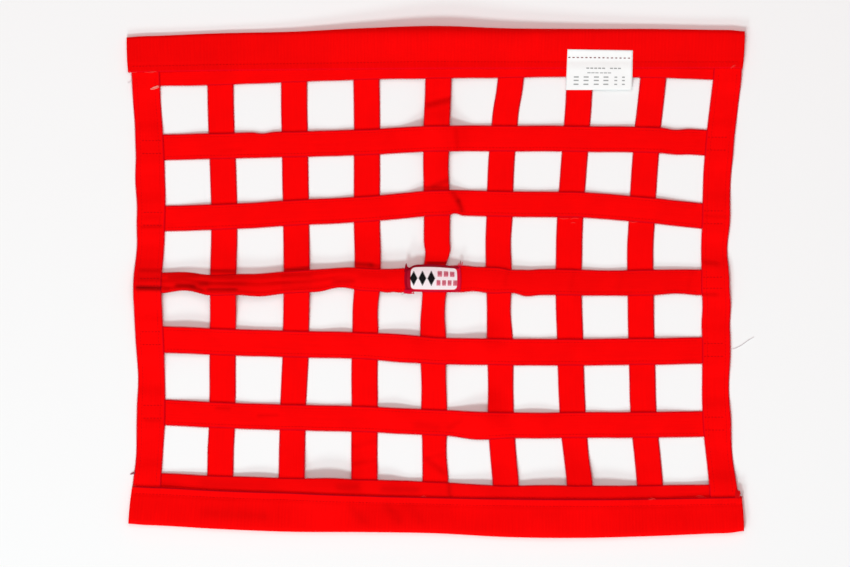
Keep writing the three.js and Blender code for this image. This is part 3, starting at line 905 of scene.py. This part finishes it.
def wire(nodes, kind, *values, **named):
    """A new shader node's outputs. Its inputs are set by their order or their names, from
    numbers or other nodes' outputs, and its own settings by their names."""
    node = nodes.new(f"ShaderNode{kind}")
    for key, value in [*enumerate(values), *named.items()]:
        if isinstance(key, str) and key not in node.inputs:
            setattr(node, key, value)
        elif isinstance(value, bpy.types.NodeSocket):
            nodes.id_data.links.new(value, node.inputs[key])
        else:
            node.inputs[key].default_value = value
    return node.outputs


def number(nodes, operation, a, b=0.0, c=0.0):
    return wire(nodes, "Math", a, b, c, operation=operation)[0]


def times(nodes, a, b, plus=None):
    """The product of two numbers, with a third added to it if there is one."""
    if plus is None:
        return number(nodes, "MULTIPLY", a, b)
    return number(nodes, "MULTIPLY_ADD", a, b, plus)


def wave(nodes, at, turn):
    return number(nodes, "SINE", times(nodes, at, turn))


def noise(nodes, scale, detail, at=None):
    """Soft noise, over the object's own place unless it is told where."""
    at = at or wire(nodes, "TexCoord")["Object"]
    return wire(nodes, "TexNoise", Vector=at, Scale=scale, Detail=detail)[0]


def cloth_place(nodes):
    """Metres from the cloth's middle, across it and along it."""
    return wire(nodes, "SeparateXYZ", wire(nodes, "UVMap", uv_map="cloth")[0])[:2]


def finish(nodes, colour, height, strength, distance):
    """Joins a colour's three channels and a relief to the shader."""
    shader = nodes["Principled BSDF"]
    mixed = wire(nodes, "CombineColor", *colour)[0]
    relief = wire(nodes, "Bump", Strength=strength, Distance=distance, Height=height)[0]
    nodes.id_data.links.new(mixed, shader.inputs["Base Color"])
    nodes.id_data.links.new(relief, shader.inputs["Normal"])


def webbing_material(name, width, line_pitch, line_run, edge_shade, rib_pitch, bar_depth=0.0):
    """Red nylon webbing. Fine uneven lines run along the cloth, its ribs cross them, and its
    dense selvedges are darker by the edge shade, partly their denser weave and partly painted
    shade along the strap's edges. Faint even bars may cross it too, and the painted shade that
    each vertex holds darkens it further."""
    material, nodes = new_material(name, 0.8, 0.03)
    across, along = cloth_place(nodes)
    drawn_across = times(nodes, across, 1 / (line_pitch * MM))
    drawn_along = times(nodes, along, 1 / (line_run * MM))
    lines = noise(nodes, 1.0, 2.0, wire(nodes, "CombineXYZ", drawn_across, drawn_along)[0])
    inner = (width / 2 - SELVEDGE_WIDTH) * MM
    outer = (width / 2 - SELVEDGE_WIDTH / 3) * MM
    edge = wire(nodes, "MapRange", number(nodes, "ABSOLUTE", across), inner, outer)[0]
    bars = wave(nodes, along, 2 * math.pi / (BAR_PITCH * MM))
    # Painted shade that each vertex holds, from the creases and the strap's tone
    shade = wire(nodes, "Attribute", attribute_name="painted shade left")["Fac"]
    for pattern, depth, least in (
        (lines, LINE_DEPTH, 1 - LINE_DEPTH / 2),
        (noise(nodes, CLOUD_SCALE, 3.0), CLOUD_DEPTH, 1 - CLOUD_DEPTH / 2),
        (bars, bar_depth, 1.0),
        (edge, -edge_shade, 1.0),
    ):
        shade = times(nodes, shade, times(nodes, pattern, depth, least))
    red = times(nodes, shade, WEBBING_RED)
    blue = times(nodes, edge, SELVEDGE_BLUE, WEBBING_BLUE)
    turn = 2 * math.pi / (rib_pitch * MM)
    weave = times(nodes, wave(nodes, across, turn), wave(nodes, along, turn * 0.8))
    height = times(nodes, weave, 0.5, times(nodes, lines, 0.9))
    finish(nodes, (red, WEBBING_GREEN, blue), height, 0.5, 0.00025)
    return material


def thread_material(name, colour, roughness=0.8, specular=0.04):
    material, nodes = new_material(name, roughness, specular)
    twist = noise(nodes, 900.0, 1.0)
    shade = times(nodes, twist, 0.3, 0.85)
    finish(nodes, [times(nodes, shade, c) for c in colour], twist, 0.3, 0.0001)
    return material


selvedge = thread_material("selvedge loops", (0.78, 0.001, 0.006))
selvedge_in_painted_light = thread_material("selvedge loops in painted light", (0.85, 0.001, 0.004))
# The foot sleeve's strong edge shade is painted shadow along its raw edge. The top sleeve keeps
# only a faint edge shade, and its brighter loops are painted light on its lit raw edge.
strap_cloth, outer_cloth, top_cloth, foot_cloth = [
    Cloth(webbing_material(f"{name} webbing", width, *weave), width, loops)
    for name, width, loops, *weave in (
        ("strap", ROW_WIDTH, selvedge, 1.1, 45, 0.3, 1.35),
        ("outer strap", OUTER_WIDTH, selvedge, 1.1, 45, 0.22, 1.35),
        ("top sleeve", SLEEVE_WIDTH, selvedge_in_painted_light, 30, 1.5, 0.05, 1.6, BAR_DEPTH),
        ("foot sleeve", SLEEVE_WIDTH, selvedge, 30, 1.5, 0.5, 1.6, BAR_DEPTH),
    )
]
seam_thread = thread_material("seam thread", (0.68, 0.002, 0.004))
dull_thread = thread_material("dull seam thread", (0.42, 0.002, 0.006))
dark_thread = thread_material("dark seam thread", (0.2, 0.006, 0.02))
pale_thread = thread_material("pale loose thread", (1, 0.05, 0.045))
peach_thread = thread_material("peach loose thread", (1, 0.3, 0.24))
rose_thread = thread_material("rose loose thread", (0.3, 0.03, 0.06))
grey_thread = thread_material("grey loose thread", (0.6, 0.55, 0.56))

# Straps
stitch_lines = []
box_lines = []
for i in range(UPRIGHT_COUNT):
    middle = upright_middle(i)
    cloth = outer_cloth if is_outer(i) else strap_cloth
    make_strap(f"upright_{i + 1}", middle, cloth)
    if is_outer(i):
        inset = OUTER_SEAM_INSET / OUTER_WIDTH
        for share in (inset, 1 - inset):
            stitch_lines.append(seam_points(middle, share)[8:-8])
        for y in box_seams(i):
            nearest = int(np.argmin(np.abs(middle[:, middle.shape[1] // 2, 1] - y)))
            across = middle[nearest] + np.array([0, 0, THICKNESS / 2])
            box_lines.append(across[5:-2] if i == 0 else across[2:-5])

for index, row in enumerate(ROWS):
    middle = row_middle(index)
    make_strap(row.node, middle, strap_cloth)
    if not is_border(index):
        x = middle[:, 0, 0]
        y = row_centre(index, x)
        left = upright_centre(0, y) + SHOWN_INSET
        shown = (x > left) & (x < upright_centre(UPRIGHT_COUNT - 1, y) - SHOWN_INSET)
        inset = ROW_SEAM_INSET / ROW_WIDTH
        for share in (inset, 1 - inset):
            stitch_lines.append(seam_points(middle, share)[shown])

for sleeve, cloth, under in (
    (TOP_SLEEVE, top_cloth, "border_top_webbing"),
    (FOOT_SLEEVE, foot_cloth, "border_foot_webbing"),
):
    middle = sleeve_middle(sleeve)
    make_strap(sleeve.node, middle, cloth)
    width = middle_lengths(middle)[0][-1]
    stitch_lines.append(seam_points(middle, 1 - SEAM_INSET / width)[2:-2])

for name, lines, material in (
    ("seam_stitching", stitch_lines, seam_thread),
    ("box_stitching", box_lines, dull_thread),
):
    make_trim(name, joined([stitches_along(line) for line in lines]), material)


# The woven patch and the sewn tag
def patch_material():
    """White satin inside a crimson border, by the distance from the field's rounded edge. The
    border's left and top are darker by painted shade.
    """
    material, nodes = new_material("woven patch", 0.6, 0.1)
    across, lengthwise = cloth_place(nodes)
    along = number(nodes, "SUBTRACT", lengthwise, FIELD_SHIFT * MM)
    squares = []
    for socket, size in ((across, FIELD_HEIGHT), (along, FIELD_WIDTH)):
        straight = (size / 2 - FIELD_ROUNDING) * MM
        away = number(nodes, "SUBTRACT", number(nodes, "ABSOLUTE", socket), straight)
        past = number(nodes, "MAXIMUM", away, 0.0)
        squares.append(times(nodes, past, past))
    outside = number(nodes, "SQRT", number(nodes, "ADD", *squares))
    inner = (FIELD_ROUNDING - RIM_BLEND) * MM
    outer = (FIELD_ROUNDING + RIM_BLEND) * MM
    border = wire(nodes, "MapRange", outside, inner, outer)[0]
    weave = times(nodes, wave(nodes, across, 9000.0), wave(nodes, lengthwise, 7000.0))
    shade = times(nodes, weave, 0.05, 0.97)
    painted_shade_at_left = number(nodes, "LESS_THAN", along, -FIELD_WIDTH / 2 * MM)
    painted_shade_at_top = number(nodes, "GREATER_THAN", across, FIELD_HEIGHT / 2 * MM)
    # Painted shade on the border's left and top
    for side, kept in ((painted_shade_at_left, RIM_LEFT_PAINTED_SHADE), (painted_shade_at_top, RIM_TOP_PAINTED_SHADE)):
        shade = times(nodes, shade, times(nodes, side, kept - 1, 1.0))
    channels = []
    for white, crimson in zip(FIELD_COLOUR, RIM_COLOUR):
        channels.append(times(nodes, times(nodes, border, crimson - white, white), shade))
    finish(nodes, channels, weave, 0.4, 0.0002)
    return material


def tag_material():
    """Smooth printed satin tape with a faint weave."""
    material, nodes = new_material("tag tape", 0.55, 0.3)
    soft = noise(nodes, 120.0, 2.0)
    finish(nodes, [times(nodes, soft, 0.06, 0.9)] * 3, soft, 0.2, 0.0003)
    return material


def make_label(node, middle, thickness, width, material):
    label = make_cloth(f"{node}_cloth", node, middle, thickness, width, material)


def printed(marks):
    """Thin flat marks that follow the tag's upper face."""
    parts = []
    for u, v, width, height in marks:
        along, across = crossed(np.linspace(-0.5, 0.5, 5), np.linspace(-0.5, 0.5, 2))
        along = u + width * along
        across = v + height * across
        points = on_sheet(tag, TAG_THICKNESS, along, across) + np.array([0, 0, PRINT_RISE])
        parts.append((points.reshape(-1, 3), grid_faces(5, 2)))
    return joined(parts)


def embroidery(name, threads, radius, material):
    """Satin threads on the patch, each from one pair of shares along and across it to another."""
    ends = np.array(threads, float)
    t = np.linspace(0, 1, 6)
    u = between(ends[:, 0:1], ends[:, 2:3], t)
    centre = on_sheet(patch, PATCH_THICKNESS, u, between(ends[:, 1:2], ends[:, 3:4], t))
    centre[..., 2] += radius * np.array([-0.6, 0.6, 1, 1, 0.6, -0.6])
    run = unit(centre[:, -1] - centre[:, 0])
    geometry = thread_tubes(centre, run, radius, (0.7, 1, 1, 1, 1, 0.7))
    return make_trim(name, geometry, material)


def diamond_threads(u, v, width, height):
    """Upright satin threads that fill a diamond, in shares of the patch."""
    count = int(width * PATCH_WIDTH / SATIN_PITCH)
    places = (np.arange(count) + 0.5) / count - 0.5
    reach = height * (0.5 - np.abs(places))
    return [(u + width * p, v - r, u + width * p, v + r) for p, r in zip(places, reach)]


def dash_threads(u, v, width, height):
    """Upright satin threads side by side in one dash."""
    count = int(width * PATCH_WIDTH / SATIN_PITCH)
    places = u + width * ((np.arange(count) + 0.5) / count - 0.5)
    return [(p, v - height / 2, p, v + height / 2) for p in places]


def rounded_box(angle, width, height, rounding):
    """Where a ray from the middle meets a box with rounded corners."""
    power = 2 / max(rounding, 0.01)
    c = np.abs(np.cos(angle)) / (width / 2)
    s = np.abs(np.sin(angle)) / (height / 2)
    far = (c ** power + s ** power) ** (-1 / power)
    return far * np.cos(angle), far * np.sin(angle)


def border_threads():
    """Satin threads over the patch's edge, all the way round from its right."""
    turn = np.linspace(0, 2 * math.pi, 2000)
    x, y = rounded_box(turn, PATCH_WIDTH, PATCH_HEIGHT, 0.2)
    arc = arc_lengths(np.stack([x, y], axis=1))
    at = np.interp(np.arange(0, arc[-1], SATIN_PITCH), arc, turn)
    outer_x, outer_y = rounded_box(at, PATCH_WIDTH, PATCH_HEIGHT, 0.2)
    inner_x, inner_y = rounded_box(at, FIELD_WIDTH, FIELD_HEIGHT, 0.3)
    return np.stack([
        0.5 + (inner_x + FIELD_SHIFT) / PATCH_WIDTH,
        0.5 + inner_y / PATCH_HEIGHT,
        0.5 + outer_x / PATCH_WIDTH,
        0.5 + outer_y / PATCH_HEIGHT,
    ], axis=1)


black_thread = thread_material("black thread", (0.006, 0.006, 0.007), 0.7, 0.1)
crimson_thread = thread_material("crimson thread", RIM_COLOUR, 0.7, 0.05)
# Copies of the crimson thread darkened by painted shade, for the rim's left and top
left_thread_painted_shade = thread_material("left crimson thread in painted shade", [c * RIM_LEFT_PAINTED_SHADE for c in RIM_COLOUR])
top_thread_painted_shade = thread_material("top crimson thread in painted shade", [c * RIM_TOP_PAINTED_SHADE for c in RIM_COLOUR])
print_thread = thread_material("rose thread", (0.66, 0.06, 0.13), 0.7, 0.1)
grey_ink = thread_material("grey print", (0.35, 0.36, 0.36), 0.8, 0.1)

patch = patch_middle()
diamonds = [t for u in (0.205, 0.34, 0.475) for t in diamond_threads(u, 0.5, 0.115, 0.46)]
motif = embroidery("patch_motif", diamonds, 0.44, black_thread)
dashes = [t for u in (0.605, 0.7, 0.795) for t in dash_threads(u, 0.63, 0.07, 0.17)]
dashes += [t for u in (0.585, 0.67, 0.755, 0.84) for t in dash_threads(u, 0.38, 0.06, 0.17)]
dashes = embroidery("patch_dashes", dashes, 0.32, print_thread)
border = border_threads()
# The rim's threads at its top and left take the crimson darkened by painted shade
on_top = (border[:, 3] > 0.93) & (border[:, 2] > 0.04)
on_left = (border[:, 2] < 0.07) & ~on_top
rims = [
    embroidery(name, border[chosen], 0.36, material)
    for name, chosen, material in (
        ("patch_rim_top_painted_shade", on_top, top_thread_painted_shade),
        ("patch_rim_left_painted_shade", on_left, left_thread_painted_shade),
        ("patch_rim", ~(on_top | on_left), crimson_thread),
    )
]
make_label(
    "centre_patch", patch, PATCH_THICKNESS, PATCH_HEIGHT, patch_material(),
)

# Print on the tag: a middle, a width and a height each, as shares of it
tag = tag_middle()
marks = [(u, v, 0.075, 0.03) for v in (0.68, 0.765, 0.86) for u in (0.15, 0.3, 0.455, 0.6)]
marks += [(u, v, 0.042, 0.03) for v in (0.68, 0.765, 0.86) for u in (0.75, 0.865)]
marks += [(u, 0.46, 0.045, 0.03) for u in (0.32, 0.38, 0.44, 0.5, 0.56, 0.68, 0.74, 0.8)]
marks += [(u, 0.575, 0.05, 0.022) for u in (0.34, 0.4, 0.46, 0.53, 0.59, 0.65)]
print_marks = make_trim("tag_print", printed(marks), grey_ink)
make_label(
    "sewn_tag", tag, TAG_THICKNESS, TAG_HEIGHT, tag_material(),
)
tag_line = on_sheet(
    tag, TAG_THICKNESS, np.linspace(0.0, 1, 60), np.full(60, TAG_SEAM_SHARE)
)
make_trim("tag_stitching", stitches_along(tag_line, 4.2, 2.6, 0.55), dark_thread)


# Loose threads and frays: the x and y in turn of the points each one passes over, in the
# photograph's pixels. Stiff ones stand out from the cloth's edge at its height
Loose = namedtuple("Loose", "name material radius stiff paths")
LOOSE = [
    Loose("pale_threads", pale_thread, 0.35, False, [
        (131.5, 73.2, 133, 72.4, 135, 72.6, 137.5, 72.1),
        (144.5, 72.3, 149, 72.4, 153, 71.6, 157, 72.2), (150, 72.9, 153.5, 72.5, 156, 71.4),
        (730.5, 68.5, 732.5, 67, 735, 66.8), (731.5, 67.3, 733.5, 65.6, 735.4, 65.2),
        (559.5, 218, 563, 218.9, 568.5, 218.4), (570.5, 219.3, 574.5, 218, 578.5, 218.6),
        (571, 223.2, 573, 222.6, 575.5, 223), (629.5, 221.4, 633, 222.4, 637, 221.8),
        (422, 496.6, 424, 495.8, 426, 496.9), (647.5, 498.8, 651, 498, 655.5, 499),
        (648.5, 499.4, 651.5, 499.2, 654, 498.3),
        (695.5, 496.6, 698.5, 495.6, 702, 496, 705.5, 497.6), (698, 497.2, 701, 496.9, 704, 497.5),
        (133, 485.9, 134.5, 485.6, 136, 486),
    ]),
    Loose("peach_threads", peach_thread, 0.5, False, [
        (150.3, 89, 153, 88.2, 156, 87.4, 159.3, 86.3),
        (151, 89.6, 154, 89, 156.5, 88.3, 159, 87.4), (152.5, 87.9, 155, 86.9, 158.5, 85.8),
    ]),
    # These frays take the top rim's crimson, darkened by painted shade
    Loose("dark_frays", top_thread_painted_shade, 0.6, True, [
        (404.6, 272, 405.4, 267, 406.3, 263.2), (405.8, 271, 406.1, 267, 406.4, 263.6),
        (406.9, 271, 406.8, 267.4, 406.5, 264), (408, 270.5, 407.5, 268, 406.8, 265.2),
        (409.2, 270.5, 408.5, 268.4, 407.2, 266.6), (405.2, 271.5, 407.5, 270, 410, 269.6),
        (460.4, 266, 460.4, 263.4, 460.5, 260.8),
    ]),
    Loose("patch_frays", crimson_thread, 0.7, True, [
        *[(x, 289.5, x - 0.2, 291.6, x - 0.4, 293.6) for x in np.arange(404.6, 412.6, 0.8)],
        (412.8, 290.5, 413.4, 292.6, 414, 294), (404.2, 292, 408, 293.4, 413.4, 293.3),
        (458.4, 267, 458.7, 265, 459.2, 262.6), (461.4, 267, 461.8, 265, 462.4, 262),
        (459.8, 268, 460, 266, 460.4, 263.4),
    ]),
    Loose("hem_frays", seam_thread, 0.7, True, [
        *[(x, 498, x + 0.3, 494, x + 0.5, 490.4) for x in np.arange(735, 739.6, 0.8)],
        (735, 497, 737.6, 490, 740, 492), (736, 493, 738.5, 494, 740.6, 493),
        (738.6, 498, 740.4, 496, 741, 497.6),
    ]),
    Loose("rose_threads", rose_thread, 0.45, False, [
        (135.5, 472.2, 132.6, 472.7, 130, 474.6), (135.5, 473.4, 132.8, 473.9, 130.8, 474.4),
    ]),
    Loose("grey_threads", grey_thread, 0.3, False, [
        (731.5, 349, 735, 348.4, 741, 345.5, 748, 340.5, 754, 337),
        (404.5, 293.5, 403, 294, 401.4, 295.2), (131, 81, 129, 82.4, 127.5, 82),
    ]),
]
ABOVE_ALL = 100
THREAD_POINTS = 7


def surface_height(x, y):
    """Height of whatever lies on top at a place."""
    start = Vector((x * MM, y * MM, ABOVE_ALL * MM))
    graph = bpy.context.evaluated_depsgraph_get()
    found, place, *_ = bpy.context.scene.ray_cast(graph, start, Vector((0, 0, -1)))
    return place.z / MM if found else 0


def loose_thread(path, radius, stiff):
    """A fine tube that lies on the cloth along a path, or stands out stiffly from it."""
    stations = np.stack(from_photo(np.array(path[::2]), np.array(path[1::2])), axis=1)
    last = len(stations) - 1
    t = np.linspace(0, last, THREAD_POINTS * last + 1)
    x = through_stations(stations[:, 0], t)
    y = through_stations(stations[:, 1], t)
    z = np.array([surface_height(*place) for place in zip(x, y)]) + radius * 0.8
    if stiff:
        z = np.full(len(z), z.max())
    ends = stations[-1] - stations[0]
    run = np.array([[*ends, 0.0]]) / np.linalg.norm(ends)
    girth = 0.4 + 0.6 * np.sin(math.pi * (t + 0.3) / (last + 0.6))
    return thread_tubes(np.stack([x, y, z], axis=-1)[None], run, radius, girth)


bpy.context.view_layer.update()
for loose in LOOSE:
    parts = [loose_thread(path, loose.radius, loose.stiff) for path in loose.paths]
    make_trim(loose.name, joined(parts), loose.material)


# Floor, light and camera
FLOOR_REACH = 8000
FLOOR_DROP = 0.3
LIGHT_DISTANCE = 6
KEY_COLOUR = (0.81, 1, 1)
FILL_COLOUR = (1, 0.83, 0.82)
FILL_STRENGTH = 0.265
CAMERA_HEIGHT = 8.0
SENSOR_WIDTH = 36
corners = [(-1, -1), (1, -1), (1, 1), (-1, 1)]
floor_corners = [(x * FLOOR_REACH, y * FLOOR_REACH, -FLOOR_DROP) for x, y in corners]
paper, nodes = new_material("floor paper", 0.9, 0.1)
nodes["Principled BSDF"].inputs["Base Color"].default_value = (0.93, 0.93, 0.935, 1)
floor = make_object("floor", floor_corners, [(0, 1, 2, 3)], materials=[paper], smooth=False)


def softbox(name, place, size, power, colour):
    light = bpy.data.lights.new(name, "AREA")
    light.color = colour
    light.shape = "RECTANGLE"
    light.size = size[0]
    light.size_y = size[1]
    light.energy = power
    lamp = bpy.data.objects.new(name, light)
    lamp.location = place
    lamp.rotation_mode = "QUATERNION"
    lamp.rotation_quaternion = (-Vector(place)).to_track_quat("-Z", "Y")
    bpy.context.scene.collection.objects.link(lamp)


def soft_light(name, azimuth, elevation, size, power):
    """A softbox at one distance, by its compass angle from the photograph's foot to its right."""
    turn = math.radians(azimuth)
    rise = math.radians(elevation)
    flat = LIGHT_DISTANCE * math.cos(rise)
    place = (flat * math.sin(turn), -flat * math.cos(turn), LIGHT_DISTANCE * math.sin(rise))
    softbox(name, place, (size, size), power, KEY_COLOUR)


soft_light("key high", -12, 52, 1.1, 140)
soft_light("key low", -15, 30, 1.1, 87)
soft_light("side", -45, 45, 1.4, 36)
softbox("overhead fill", (0, 0.9, 4.0), (3.0, 3.0), 69, FILL_COLOUR)
world = bpy.data.worlds.new("studio")
world.use_nodes = True
background = world.node_tree.nodes["Background"]
background.inputs["Color"].default_value = (*FILL_COLOUR, 1)
background.inputs["Strength"].default_value = FILL_STRENGTH
bpy.context.scene.world = world
bpy.context.scene.view_settings.view_transform = "Standard"

camera_data = bpy.data.cameras.new("camera")
camera_data.sensor_width = SENSOR_WIDTH
camera_data.lens = SENSOR_WIDTH * CAMERA_HEIGHT / (PHOTO_WIDTH * PIXEL * MM)
camera = bpy.data.objects.new("camera", camera_data)
camera.location = (
    (PHOTO_WIDTH / 2 - CENTRE_PX) * PIXEL * MM,
    (CENTRE_PY - PHOTO_HEIGHT / 2) * PIXEL * MM,
    CAMERA_HEIGHT,
)
bpy.context.scene.collection.objects.link(camera)
bpy.context.scene.camera = camera
